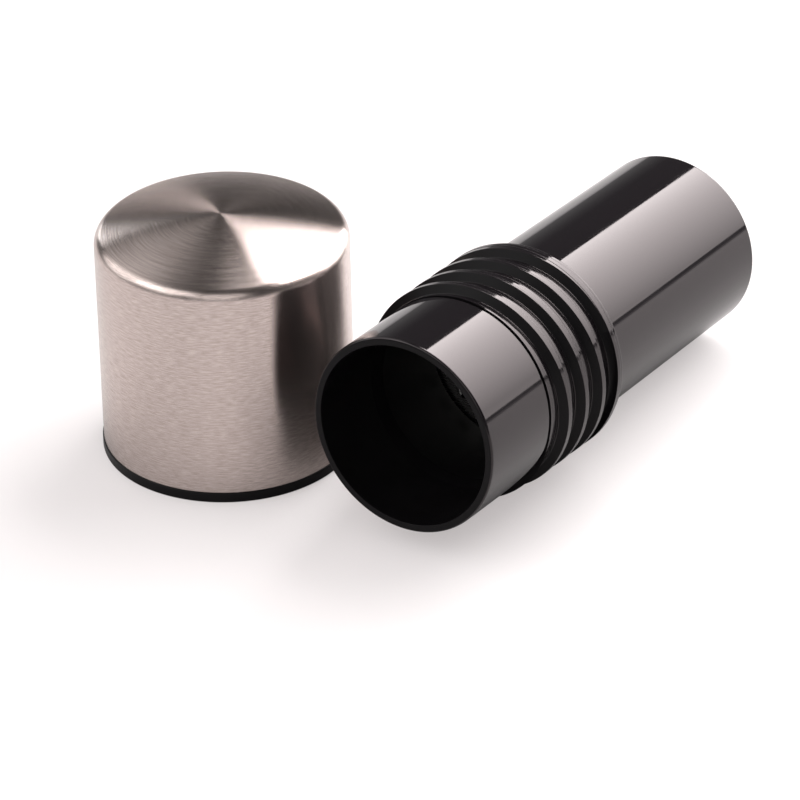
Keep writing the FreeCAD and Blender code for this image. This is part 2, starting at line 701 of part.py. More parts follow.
def plunger_guide():
    """Flanged tube under the cap's top; its six-sided lip keeps the pusher from turning."""
    body = new_body("plunger_guide", "cap")
    flange = "guideTop - guideFlangeThick"
    turned(body, "guide_tube", [
        ("guideBore", "headBottom"), ("guideBore", "guideTop"), ("guideFlangeRadius", "guideTop"),
        ("guideFlangeRadius", flange), ("guideRadius", flange), ("guideRadius", "guideBottom"),
        ("0", "guideBottom"), ("0", "headBottom")])
    sketch = new_sketch(body, "lip_section", "XY_Plane", height="headBottom")
    hexagon(sketch, "(stemFlats + 2 * slideFit)")
    extrude(body, "PartDesign::Pocket", sketch, "lip_hole", "guideLip + slideFit")
    sketch = new_sketch(body, "flange_hole_section", "XY_Plane", height="guideTop")
    ring(sketch, "screwRadius + 0.5 * slideFit", "guideScrewPlace")
    hole = extrude(body, "PartDesign::Pocket", sketch, "flange_hole", "guideFlangeThick + slideFit")
    repeat(body, [hole], "flange_holes", "guideScrewCount")


def guide_screws():
    body = new_body("guide_screws", "cap")
    screw_at(body, "guide_screw", "screwHeadHeight", "screwHeadRadius", "screwRadius",
             "guideTop - guideFlangeThick", "guideTop + guideScrewBite", "guideScrewPlace", "guideScrewCount")


def plunger_stem():
    body = new_body("plunger_stem", "cap")
    sketch = new_sketch(body, "stem_section", "XY_Plane", height="discTop")
    hexagon(sketch, "stemFlats")
    extrude(body, "PartDesign::Pad", sketch, "stem", "headBottom - discTop")
    sketch = new_sketch(body, "stem_head_section", "XY_Plane", height="headBottom")
    ring(sketch, "guideBore - slideFit")
    extrude(body, "PartDesign::Pad", sketch, "stem_head", "stemHead")
    sketch = new_sketch(body, "stem_hole_section", "XY_Plane", height="discTop")
    ring(sketch, "pusherScrewRadius + 0.5 * slideFit")
    extrude(body, "PartDesign::Pocket", sketch, "stem_hole",
            "spikePlateHeight + pusherScrewLength - discTop + slideFit", reverse=True)


def pusher_disc():
    body = new_body("pusher_disc", "cap")
    tube(body, "pusher_disc_turned", "discRadius", "pusherScrewRadius + 0.5 * slideFit",
         "spikePlateHeight + spikePlateThick", "discTop")


def spike_plate():
    """Steel plate whose points grip the spice."""
    body = new_body("spike_plate", "cap")
    top = "spikePlateHeight + spikePlateThick"
    tube(body, "plate", "spikePlateRadius", "pusherScrewRadius + 0.5 * slideFit", "spikePlateHeight", top)
    for number_of_ring in range(int(number("spikeRings"))):
        name = f"spike_ring_{number_of_ring + 1}"
        middle = f"(spikeRingOffset + {number_of_ring} * spikeRingStep)"
        spike = body.newObject("PartDesign::AdditiveCone", f"{name}_spike")
        spike.AttachmentSupport = [(plane(body, "XY_Plane"), "")]
        spike.MapMode = "FlatFace"
        bind(spike, ".AttachmentOffset.Base.x", middle)
        bind(spike, ".AttachmentOffset.Base.z", "spikePlateHeight - spikeHeight")
        bind(spike, "Radius1", "spikeTip")
        bind(spike, "Radius2", "spikeRadius")
        bind(spike, "Height", "spikeHeight")
        doc.recompute()
        repeat(body, [spike], name, f"spikesInFirstRing * {number_of_ring + 1}")


def pusher_screw():
    body = new_body("pusher_screw", "cap")
    screw_at(body, "pusher_screw_turned", "pusherScrewHeadHeight", "pusherScrewHead", "pusherScrewRadius",
             "spikePlateHeight", "spikePlateHeight + pusherScrewLength", "0", "1")


def spring_washer():
    body = new_body("spring_washer", "cap")
    tube(body, "spring_washer_turned", "guideBore - 2 * slideFit", "springCoilRadius - springWire",
         "headTop", "headTop + springWasherThick")


def plunger_spring():
    """A coil spring between the pusher's head and the top of the cap."""
    body = new_body("plunger_spring", "cap")
    sketch = new_sketch(body, "wire_section", "XZ_Plane")
    low = "headTop + springWasherThick + 0.55 * springWire"
    ring(sketch, "0.5 * springWire", "springCoilRadius", low)
    coil = body.newObject("PartDesign::AdditiveHelix", "coil")
    coil.Profile = sketch
    coil.ReferenceAxis = (sketch, ["V_Axis"])
    coil.Mode = "height-turns-growth"
    bind(coil, "Height", "guideTop - headTop - springWasherThick - 1.1 * springWire")
    bind(coil, "Turns", "springTurns")
    doc.recompute()


spice_chamber()
seal("chamber_seal", "mill", "collarBore", "sealRingThick", "sealRingPlace")
joint_gasket()
thread_collar()
split_ring()
glide_washer()
barrel()
blade_disc()
blade_carrier()
blade_screw()
carrier_screws()
base_plug()
seal("plug_seal", "mill", "seatRadius", "sealRingThick", "millLength - plugRingBack")
cap_shell()
cap_liner()
cap_gasket()
plunger_guide()
guide_screws()
plunger_stem()
pusher_disc()
spike_plate()
pusher_screw()
spring_washer()
plunger_spring()
doc.recompute()

for thing in doc.Objects:
    if "Invalid" in thing.State or "Error" in thing.State:
        raise RuntimeError(f"{thing.Label} failed: {thing.State}")

os.makedirs("parts", exist_ok=True)
for thing in doc.Objects:
    if thing.TypeId not in ("PartDesign::Body", "Part::Torus"):
        continue
    shape = thing.Shape
    if shape.isNull() or not shape.isValid() or shape.Volume <= 0:
        raise RuntimeError(f"{thing.Label} has no valid shape")
    shape.exportStep(f"parts/{thing.Label}.step")
    print(f"{thing.Label}: {len(shape.Solids)} solid(s), {shape.Volume:.1f} mm3")
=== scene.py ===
import math

import bmesh
import bpy
from mathutils import Matrix, Vector


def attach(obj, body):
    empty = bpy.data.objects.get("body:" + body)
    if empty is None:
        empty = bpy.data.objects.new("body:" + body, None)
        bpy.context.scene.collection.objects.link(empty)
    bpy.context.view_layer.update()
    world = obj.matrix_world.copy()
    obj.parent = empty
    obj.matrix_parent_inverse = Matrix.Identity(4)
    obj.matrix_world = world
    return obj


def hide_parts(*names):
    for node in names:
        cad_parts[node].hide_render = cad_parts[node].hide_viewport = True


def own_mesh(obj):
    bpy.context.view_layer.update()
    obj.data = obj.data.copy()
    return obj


# Twist spice mill, taken apart for filling. Its sizes are in millimetres and angles in degrees, in the mill's
# own frame (z from the mouth to the rear, y down) or the cap's (z up from the table). The stage is in metres.

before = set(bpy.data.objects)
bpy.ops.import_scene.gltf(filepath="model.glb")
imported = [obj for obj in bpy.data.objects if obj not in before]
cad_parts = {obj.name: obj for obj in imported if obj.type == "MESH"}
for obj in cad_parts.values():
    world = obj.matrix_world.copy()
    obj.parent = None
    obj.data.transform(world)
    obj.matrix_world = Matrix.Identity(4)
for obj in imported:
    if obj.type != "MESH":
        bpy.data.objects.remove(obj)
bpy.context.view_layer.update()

stand = {
    "millMouth": (31.425, -52.948, 28.178),
    "millTurn": -93.5259,
    "capFoot": (-27.825, -34.848, 0.0),
    "metre": 0.001,
}
toMetres = Matrix.Scale(stand["metre"], 4)
millFrame = (Matrix.Translation(Vector(stand["millMouth"]) * stand["metre"])
             @ Matrix.Rotation(math.radians(stand["millTurn"]), 4, "X") @ toMetres)
capFrame = Matrix.Translation(Vector(stand["capFoot"]) * stand["metre"]) @ toMetres


def rounded(corners, closed=True, steps=6, guard=0.12):
    # corners are (radius, height, fillet); a guard point beside each arc keeps the flat next to it flat
    points = []
    count = len(corners)
    for i, (r, z, fillet) in enumerate(corners):
        if fillet <= 0 or (not closed and i in (0, count - 1)):
            points.append((r, z))
            continue
        here = Vector((r, z))
        before = Vector(corners[i - 1][:2]) - here
        after = Vector(corners[(i + 1) % count][:2]) - here
        rooms = before.length, after.length
        before.normalize()
        after.normalize()
        half = before.angle(after) / 2
        reach = fillet / math.tan(half)
        centre = here + (before + after).normalized() * (fillet / math.sin(half))
        start = here + before * reach - centre
        sweep = math.copysign(math.pi - 2 * half, start.cross(here + after * reach - centre))
        if rooms[0] > 2 * reach + 3 * guard:
            points.append(tuple(here + before * (reach + guard)))
        for k in range(steps + 1):
            turn = sweep * k / steps
            points.append((centre.x + start.x * math.cos(turn) - start.y * math.sin(turn),
                           centre.y + start.x * math.sin(turn) + start.y * math.cos(turn)))
        if rooms[1] > 2 * reach + 3 * guard:
            points.append(tuple(here + after * (reach + guard)))
    return points


def sweptMesh(name, columns, closed=True):
    # columns are (angle, profile) round the axis, the last one back at the first
    points, wraps = [], []
    rows = len(columns[0][1])
    for angle, profile in columns:
        across, down = math.cos(math.radians(angle)), math.sin(math.radians(angle))
        run = 0.0
        for j, (r, z) in enumerate(profile):
            if j:
                run += math.dist(profile[j - 1], (r, z))
            points.append((r * across, r * down, z))
            wraps.append((angle / 360, run))
    faces = []
    for i in range(len(columns) - 1):
        for j in range(rows if closed else rows - 1):
            k = (j + 1) % rows
            faces.append((i * rows + j, (i + 1) * rows + j, (i + 1) * rows + k, i * rows + k))
    mesh = bpy.data.meshes.new(name)
    mesh.from_pydata(points, [], faces)
    wrap = mesh.uv_layers.new(name="wrap")
    for loop in mesh.loops:
        wrap.data[loop.index].uv = wraps[loop.vertex_index]
    return mesh


def turnedMesh(name, corners, closed=True, segments=256):
    profile = rounded(corners, closed)
    return sweptMesh(name, [(360 * i / segments, profile) for i in range(segments + 1)], closed)


def finished(name, mesh, place, sharp=32, weld=0.002):
    # closes the seams, points the faces outwards and sets the mesh in its place as a piece
    work = bmesh.new()
    work.from_mesh(mesh)
    bmesh.ops.remove_doubles(work, verts=work.verts, dist=weld)
    bmesh.ops.dissolve_degenerate(work, edges=work.edges, dist=weld / 10)
    bmesh.ops.recalc_face_normals(work, faces=work.faces)
    work.to_mesh(mesh)
    work.free()
    mesh.transform(place)
    mesh.shade_smooth()
    mesh.set_sharp_from_angle(angle=math.radians(sharp))
    piece = bpy.data.objects.new(name, mesh)
    bpy.context.scene.collection.objects.link(piece)
    return piece


def feed(tree, node, sockets):
    # an output is linked to the node's input, and a plain value is set on it
    for key, value in sockets.items():
        if isinstance(value, bpy.types.NodeSocket):
            tree.links.new(value, node.inputs[key])
        else:
            node.inputs[key].default_value = value


def put(tree, kind, sockets=None, **settings):
    node = tree.nodes.new(kind)
    for key, value in settings.items():
        setattr(node, key, value)
    feed(tree, node, sockets or {})
    return node


def newTree(name, inputs):
    # a node tree whose first input is the object's own mesh; the others are named values
    tree = bpy.data.node_groups.new(name, "GeometryNodeTree")
    tree.interface.new_socket("Geometry", in_out="OUTPUT", socket_type="NodeSocketGeometry")
    tree.interface.new_socket("Geometry", in_out="INPUT", socket_type="NodeSocketGeometry")
    for label, kind in inputs.items():
        tree.interface.new_socket(label, in_out="INPUT", socket_type="NodeSocket" + kind)
    return tree, put(tree, "NodeGroupInput").outputs


def calc(tree, how, first, second=0.0):
    return put(tree, "ShaderNodeMath", {0: first, 1: second}, operation=how).outputs[0]


def mixed(tree, factor, first, second):
    return put(tree, "ShaderNodeMix", {0: factor, 2: first, 3: second}).outputs[0]


def closeTree(tree, geometry, material):
    real = put(tree, "GeometryNodeRealizeInstances", {"Geometry": geometry}).outputs["Geometry"]
    made = put(tree, "GeometryNodeSetMaterial", {"Geometry": real, "Material": material})
    put(tree, "NodeGroupOutput", {"Geometry": made.outputs["Geometry"]})
    return tree


def grown(name, tree, values, base=None):
    # runs a tree once and keeps its result as a plain mesh
    holder = bpy.data.objects.new(name, base or bpy.data.meshes.new(name))
    bpy.context.scene.collection.objects.link(holder)
    modifier = holder.modifiers.new("grow", "NODES")
    modifier.node_group = tree
    for item in tree.interface.items_tree:
        if item.in_out == "INPUT" and item.name in values:
            modifier[item.identifier] = values[item.name]
    graph = bpy.context.evaluated_depsgraph_get()
    mesh = bpy.data.meshes.new_from_object(
        holder.evaluated_get(graph), preserve_all_data_layers=True, depsgraph=graph)
    holder.modifiers.remove(modifier)
    bpy.data.objects.remove(holder)
    return mesh


def joined(name, pieces, place):
    # several meshes in one frame become one piece
    work = bmesh.new()
    for mesh in pieces:
        work.from_mesh(mesh)
    whole = bpy.data.meshes.new(name)
    work.to_mesh(whole)
    work.free()
    return finished(name, whole, place)


def slabMesh(name, low, high, edge):
    work = bmesh.new()
    bmesh.ops.create_cube(work, size=1)
    for vertex in work.verts:
        vertex.co = [a if side < 0 else b for side, a, b in zip(vertex.co, low, high)]
    bmesh.ops.bevel(work, geom=work.edges, offset=edge, segments=2, affect="EDGES")
    mesh = bpy.data.meshes.new(name)
    work.to_mesh(mesh)
    work.free()
    return mesh


def newFinish(name, **sockets):
    material = bpy.data.materials.new(name)
    material.use_nodes = True
    shader = material.node_tree.nodes["Principled BSDF"]
    for key, value in sockets.items():
        shader.inputs[key].default_value = value
    return material, material.node_tree, shader


def noiseOf(tree, vector, scale, detail=2.0, rough=0.5):
    return put(tree, "ShaderNodeTexNoise", {
        "Vector": vector, "Scale": scale, "Detail": detail, "Roughness": rough}).outputs["Fac"]


def spread(tree, value, low, high, start=0.3, end=0.7):
    # most of a noise lies between the default start and end
    return put(tree, "ShaderNodeMapRange", {
        "Value": value, "From Min": start, "From Max": end, "To Min": low, "To Max": high}).outputs["Result"]


def tint(tree, factor, first, second):
    return put(tree, "ShaderNodeMix", {
        "Factor": factor, 6: (*first, 1), 7: (*second, 1)}, data_type="RGBA").outputs[2]


def bumpOf(tree, height, strength, distance, **under):
    # under may give the bump that this one lies on, as Normal
    return put(tree, "ShaderNodeBump", {
        "Height": height, "Strength": strength, "Distance": distance, **under}).outputs["Normal"]


def stretched(tree, vector, scale):
    return put(tree, "ShaderNodeMapping", {"Vector": vector, "Scale": scale}).outputs["Vector"]


def inPlace(tree, place):
    # object coordinates seen from the mill's or the cap's own frame, in millimetres
    where = put(tree, "ShaderNodeTexCoord").outputs["Object"]
    return put(tree, "ShaderNodeMapping", {
        "Vector": where, "Location": place.to_translation(), "Rotation": place.to_euler(),
        "Scale": (stand["metre"],) * 3}, vector_type="TEXTURE").outputs["Vector"]


def wrapped(tree, across, along):
    # the piece's own wrap: x goes once round the axis, y is the run along the profile in millimetres
    wrap = put(tree, "ShaderNodeUVMap", uv_map="wrap").outputs["UV"]
    return stretched(tree, wrap, (across, along, 1))


# polished black plastic. Dust and tool marks grow over a band of noise, and a bump is strength and metres
plastic = {
    "index": 1.47,
    "glint": (1, 0.9, 0.915, 1),
    "colour": (0.0085, 0.0072, 0.0084),
    "dustColour": (0.014, 0.0125, 0.014),
    "dustBand": (0.62, 0.72),
    "dust": {"scale": 3.2, "detail": 2},
    "smudge": {"scale": 0.09, "detail": 3},
    "skin": {"scale": 0.45, "detail": 1},
    "skinBump": (0.015, 0.00005),
    "toolLines": (0.02, 0.02, 4.5),
    "toolMarks": {"scale": 1.0, "detail": 3, "rough": 0.7},
    "toolBand": (0.55, 0.63),
    "toolDull": 0.4,
    "toolBump": (0.1, 0.00004),
}


def blackGloss(name, place, smooth, dull, turned=False):
    material, tree, shader = newFinish(name, IOR=plastic["index"])
    where = inPlace(tree, place)
    gloss = spread(tree, noiseOf(tree, where, **plastic["smudge"]), smooth, dull)
    speck = spread(tree, noiseOf(tree, where, **plastic["dust"]), 0, 1, *plastic["dustBand"])
    bump = bumpOf(tree, noiseOf(tree, where, **plastic["skin"]), *plastic["skinBump"])
    if turned:
        marks = noiseOf(tree, stretched(tree, where, plastic["toolLines"]), **plastic["toolMarks"])
        gloss = calc(tree, "ADD", gloss, spread(tree, marks, 0, plastic["toolDull"], *plastic["toolBand"]))
        bump = bumpOf(tree, marks, *plastic["toolBump"], Normal=bump)
    feed(tree, shader, {
        "Base Color": tint(tree, speck, plastic["colour"], plastic["dustColour"]),
        "Specular Tint": plastic["glint"], "Roughness": gloss, "Normal": bump})
    return material


satin = {
    "dark": (0.004, 0.0035, 0.004),
    "light": (0.008, 0.007, 0.008),
    "roughness": (0.28, 0.4),
    "patch": {"scale": 0.09, "detail": 2},
    "grain": {"scale": 3.2, "detail": 3},
    "bump": (0.2, 0.00004),
}


def blackSatin(name, place, specular):
    material, tree, shader = newFinish(name)
    where = inPlace(tree, place)
    patch = noiseOf(tree, where, **satin["patch"])
    feed(tree, shader, {
        "Base Color": tint(tree, patch, satin["dark"], satin["light"]),
        "Specular IOR Level": specular, "Roughness": spread(tree, patch, *satin["roughness"]),
        "Normal": bumpOf(tree, noiseOf(tree, where, **satin["grain"]), *satin["bump"])})
    return material


# brushed steel. A stroke is the scale of its noise round the axis and along the profile
steel = {
    "light": (0.75, 0.645, 0.605),
    "dark": (0.54, 0.45, 0.42),
    "turn": 0.25,
    "fine": {"scale": 1.0, "detail": 4, "rough": 0.65},
    "broad": {"scale": 1.0, "detail": 2},
    "broader": (2, 3),
    "shadeBand": (0.78, 1.22),
    "glossBand": (0.75, 1.25),
    "side": {"stroke": (130, 11), "roughness": (0.23, 0.19), "anisotropy": 0.90, "bump": (0.45, 0.00003)},
    "top": {"stroke": (20, 7.5), "roughness": (0.25, 0.20), "anisotropy": 0.94, "bump": (0.55, 0.00003)},
}


def brushedSteel(name, stroke, roughness, anisotropy, bump):
    # strokes run round the axis, and the tangent of the wrap turns the gloss with them
    material, tree, shader = newFinish(name, Metallic=1.0, Anisotropic=anisotropy)
    tangent = put(tree, "ShaderNodeTangent", direction_type="UV_MAP", uv_map="wrap")
    fine = noiseOf(tree, wrapped(tree, *stroke), **steel["fine"])
    wide = [size / times for size, times in zip(stroke, steel["broader"])]
    broad = noiseOf(tree, wrapped(tree, *wide), **steel["broad"])
    both = calc(tree, "ADD", fine, broad)
    streak = spread(tree, both, 0, 1, *steel["shadeBand"])
    feed(tree, shader, {
        "Base Color": tint(tree, streak, steel["dark"], steel["light"]),
        "Roughness": spread(tree, both, *roughness, *steel["glossBand"]),
        "Anisotropic Rotation": steel["turn"], "Tangent": tangent.outputs["Tangent"],
        "Normal": bumpOf(tree, fine, *bump)})
    return material


metal = {
    "grain": {"scale": 2.5, "detail": 3},
    "darkShare": 0.8,
    "glossShares": (0.8, 1.25),
    "bump": (0.1, 0.00002),
}


def plainMetal(name, place, colour, roughness, stroke=(1, 1, 1)):
    material, tree, shader = newFinish(name, Metallic=1.0)
    fine = noiseOf(tree, stretched(tree, inPlace(tree, place), stroke), **metal["grain"])
    feed(tree, shader, {
        "Base Color": tint(tree, fine, [metal["darkShare"] * c for c in colour], colour),
        "Roughness": spread(tree, fine, *(roughness * share for share in metal["glossShares"])),
        "Normal": bumpOf(tree, fine, *metal["bump"])})
    return material


soft = {
    "grain": {"scale": 5.0, "detail": 3},
    "darkShare": 0.75,
    "bump": (0.25, 0.00003),
}


def softSkin(name, place, colour, roughness):
    material, tree, shader = newFinish(name, Roughness=roughness)
    grain = noiseOf(tree, inPlace(tree, place), **soft["grain"])
    feed(tree, shader, {
        "Base Color": tint(tree, grain, [soft["darkShare"] * c for c in colour], colour),
        "Normal": bumpOf(tree, grain, *soft["bump"])})
    return material


millGloss = blackGloss("polishedBlackMill", millFrame, smooth=0.035, dull=0.075)
threadGloss = blackGloss("turnedBlackThread", millFrame, smooth=0.04, dull=0.08, turned=True)
capGloss = blackGloss("polishedBlackCap", capFrame, smooth=0.12, dull=0.2)
linerBlack = blackSatin("satinBlackCap", capFrame, specular=0.16)
# the mill's satin black for its inner pieces, which also stands as painted shade on the thread's flanks and
# inside the mouth
innerBlackAndPaintedShade = blackSatin("satinBlackMillAndPaintedShade", millFrame, specular=0.13)
sideSteel = brushedSteel("brushedSide", **steel["side"])
topSteel = brushedSteel("spunTop", **steel["top"])
millRubber = softSkin("rubberMill", millFrame, colour=(0.012, 0.012, 0.012), roughness=0.6)
capRubber = softSkin("rubberCap", capFrame, colour=(0.014, 0.014, 0.014), roughness=0.6)
nylon = softSkin("glideNylon", millFrame, colour=(0.62, 0.60, 0.55), roughness=0.42)
bladeSteel = plainMetal("etchedBlade", millFrame, (0.66, 0.65, 0.63), roughness=0.24, stroke=(0.15, 6, 1))
millScrews = plainMetal("screwSteelMill", millFrame, (0.56, 0.55, 0.54), roughness=0.26)
capScrews = plainMetal("screwSteelCap", capFrame, (0.56, 0.55, 0.54), roughness=0.26)
springSteel = plainMetal("springWire", capFrame, (0.60, 0.59, 0.57), roughness=0.2, stroke=(1, 1, 4))
plateSteel = plainMetal("spikePlateSteel", capFrame, (0.64, 0.63, 0.61), roughness=0.28, stroke=(0.2, 5, 1))
print("finishes ready")


def dress(piece, *materials):
    piece.data.materials.clear()
    for material in materials:
        piece.data.materials.append(material)
    return piece


def painted(piece, place, picks):
    # picks(outward, along) says which faces take the second finish, from how far a face's normal points away
    # from the axis and along it; the sizes whose names end in Faces are its limits
    back = place.inverted()
    turnBack = place.to_3x3().normalized().inverted()
    for face in piece.data.polygons:
        middle = back @ face.center
        normal = turnBack @ face.normal
        outward = (normal.x * middle.x + normal.y * middle.y) / max(math.hypot(middle.x, middle.y), 1e-6)
        face.material_index = 1 if picks(outward, normal.z) else 0


def hand(piece, body, slot, *nodes):
    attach(piece, body)
    if nodes:
        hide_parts(*nodes)


# spice chamber, the open front tube
chamber = {
    "outer": 23.1, "bore": 21.3, "mouthRound": 0.6, "boreRound": 0.15,
    "skirt": 23.3, "skirtRound": 0.12, "spigot": 21.8, "length": 42.9, "endRound": 0.3,
    "narrowBore": 20.2, "narrowFrom": 20.0, "narrowTo": 23.0, "narrowRound": 0.8,
    "groove": {"from": 38.57, "to": 39.43, "floor": 20.95, "edge": 0.08},
    "key": {"foot": 21.2, "tip": 22.4, "half": 1.5, "from": 24.6, "to": 34.6, "edge": 0.12},
    "boreFaces": -0.3, "mouthFaces": -0.8,
}
groove = chamber["groove"]
chamberTube = turnedMesh("chamberTube", [
    (chamber["bore"], chamber["narrowFrom"], chamber["narrowRound"]),
    (chamber["bore"], 0, chamber["boreRound"]),
    (chamber["outer"], 0, chamber["mouthRound"]),
    (chamber["outer"], chamber["skirt"], chamber["skirtRound"]),
    (chamber["spigot"], chamber["skirt"], 0),
    (chamber["spigot"], groove["from"], groove["edge"]),
    (groove["floor"], groove["from"], groove["edge"]),
    (groove["floor"], groove["to"], groove["edge"]),
    (chamber["spigot"], groove["to"], groove["edge"]),
    (chamber["spigot"], chamber["length"], chamber["endRound"]),
    (chamber["narrowBore"], chamber["length"], chamber["endRound"]),
    (chamber["narrowBore"], chamber["narrowTo"], chamber["narrowRound"]),
])
key = chamber["key"]
chamberKey = slabMesh("chamberKey", low=(key["foot"], -key["half"], key["from"]),
                      high=(key["tip"], key["half"], key["to"]), edge=key["edge"])
spiceChamber = joined("spiceChamber", [chamberTube, chamberKey], millFrame)
dress(spiceChamber, millGloss, innerBlackAndPaintedShade)
# the bore and the faces towards the mouth take the darker, duller satin black: painted shade that keeps the
# inside of the mouth black
painted(spiceChamber, millFrame, lambda outward, along: (
    outward < chamber["boreFaces"] or along < chamber["mouthFaces"]))
hand(spiceChamber, "chamber", "black_gloss", "spice_chamber")

gasket = {"inner": 22.0, "outer": 22.7, "from": 23.32, "to": 23.95, "innerRound": 0.15, "outerRound": 0.2}
gasketRing = turnedMesh("gasketRing", [
    (gasket["inner"], gasket["from"], gasket["innerRound"]),
    (gasket["outer"], gasket["from"], gasket["outerRound"]),
    (gasket["outer"], gasket["to"], gasket["outerRound"]),
    (gasket["inner"], gasket["to"], gasket["innerRound"]),
], segments=192)
jointGasket = dress(finished("jointGasket", gasketRing, millFrame), millRubber)
hand(jointGasket, "chamber", "seal_rubber", "joint_gasket")
print("front tube done")


# thread of the collar and of the cap: one tree lays a profile round the axis and climbs the screw line
thread = {"pitch": 7.06, "baseRound": 0.32, "crestRound": 0.14, "columns": 300, "leastCut": 0.00001}


def threadTree():
    # a profile point is (radius, mark, height). Mark 1 climbs and is cut at Low and High, and mark -1 makes
    # the keyway
    tree, given = newTree("threadWrap", {
        "Columns": "Int", "Pitch": "Float", "Flank": "Float", "Crest Width": "Float", "Crest Start": "Float",
        "Root": "Float", "Crest": "Float", "Low": "Float", "High": "Float",
        "Key Radius": "Float", "Key Half": "Float", "Material": "Material"})
    size = put(tree, "GeometryNodeAttributeDomainSize", {"Geometry": given["Geometry"]})
    rows = size.outputs["Point Count"]
    grid = put(tree, "GeometryNodeMeshGrid", {
        "Vertices X": calc(tree, "ADD", given["Columns"], 1), "Vertices Y": rows}).outputs["Mesh"]
    index = put(tree, "GeometryNodeInputIndex").outputs[0]
    column = calc(tree, "FLOOR", calc(tree, "DIVIDE", calc(tree, "ADD", index, 0.5), rows))
    row = calc(tree, "SUBTRACT", index, calc(tree, "MULTIPLY", column, rows))
    position = put(tree, "GeometryNodeInputPosition").outputs[0]
    profile = put(tree, "GeometryNodeSampleIndex", {
        "Geometry": given["Geometry"], "Value": position, "Index": row,
    }, data_type="FLOAT_VECTOR").outputs["Value"]
    radius, mark, height = put(tree, "ShaderNodeSeparateXYZ", {0: profile}).outputs
    climbs = calc(tree, "GREATER_THAN", mark, 0.5)
    keyed = calc(tree, "LESS_THAN", mark, -0.5)
    share = calc(tree, "DIVIDE", column, given["Columns"])
    climb = calc(tree, "MULTIPLY", given["Pitch"], share)
    climbed = calc(tree, "ADD", height, calc(tree, "MULTIPLY", climbs, climb))
    held = calc(tree, "MINIMUM", calc(tree, "MAXIMUM", climbed, given["Low"]), given["High"])
    beyond = calc(tree, "ABSOLUTE", calc(tree, "SUBTRACT", climbed, held))
    isCut = calc(tree, "GREATER_THAN", beyond, thread["leastCut"])
    # on a cut the radius comes from the flanks and the crest as they stand there
    along = calc(tree, "SUBTRACT", calc(tree, "SUBTRACT", held, climb), given["Crest Start"])
    along = calc(tree, "FLOORED_MODULO", calc(tree, "ADD", along, given["Flank"]), given["Pitch"])
    ridge = calc(tree, "ADD", calc(tree, "MULTIPLY", given["Flank"], 2.0), given["Crest Width"])
    rise = calc(tree, "DIVIDE", along, given["Flank"])
    fall = calc(tree, "DIVIDE", calc(tree, "SUBTRACT", ridge, along), given["Flank"])
    step = calc(tree, "MINIMUM", calc(tree, "MAXIMUM", calc(tree, "MINIMUM", rise, fall), 0.0), 1.0)
    cutRadius = mixed(tree, step, given["Root"], given["Crest"])
    radius = mixed(tree, calc(tree, "MULTIPLY", climbs, isCut), radius, cutRadius)
    turn = calc(tree, "MULTIPLY", share, 2 * math.pi)
    aside = calc(tree, "ABSOLUTE", calc(tree, "MULTIPLY", calc(tree, "SINE", turn), given["Key Radius"]))
    ahead = calc(tree, "GREATER_THAN", calc(tree, "COSINE", turn), 0.0)
    inKey = calc(tree, "MULTIPLY", calc(tree, "LESS_THAN", aside, given["Key Half"]), ahead)
    radius = mixed(tree, calc(tree, "MULTIPLY", keyed, inKey), radius, given["Key Radius"])
    place = put(tree, "ShaderNodeCombineXYZ", {
        0: calc(tree, "MULTIPLY", radius, calc(tree, "COSINE", turn)),
        1: calc(tree, "MULTIPLY", radius, calc(tree, "SINE", turn)),
        2: mixed(tree, climbs, climbed, held)}).outputs[0]
    laid = put(tree, "GeometryNodeSetPosition", {"Geometry": grid, "Position": place}).outputs["Geometry"]
    return closeTree(tree, laid, given["Material"])


def threadRows(screw):
    # the ridge's profile at angle 0, long enough to cover the whole length once it has climbed a turn
    pitch = screw["Pitch"]
    first = math.floor((screw["Low"] - screw["Crest Start"]) / pitch) - 1
    last = math.ceil((screw["High"] - screw["Crest Start"]) / pitch)
    corners = [(screw["Root"], screw["Low"] - 3 * pitch, 0)]
    for turn in range(first, last + 1):
        edge = screw["Crest Start"] + pitch * turn
        rear = edge + screw["Crest Width"]
        corners += [
            (screw["Root"], edge - screw["Flank"], thread["baseRound"]),
            (screw["Crest"], edge, thread["crestRound"]),
            (screw["Crest"], rear, thread["crestRound"]),
            (screw["Root"], rear + screw["Flank"], thread["baseRound"]),
        ]
    corners.append((screw["Root"], screw["High"] + 2 * pitch, 0))
    return [(r, 1, z) for r, z in rounded(corners, closed=False, steps=4, guard=0.06)]


def threaded(name, rows, screw, place):
    base = bpy.data.meshes.new(name)
    base.from_pydata(rows, [(i, i + 1) for i in range(len(rows) - 1)], [])
    return finished(name, grown(name, screwTree, screw, base), place)


def plainRows(corners):
    return [(r, 0, z) for r, z in rounded(corners, closed=False, steps=5, guard=0.06)]


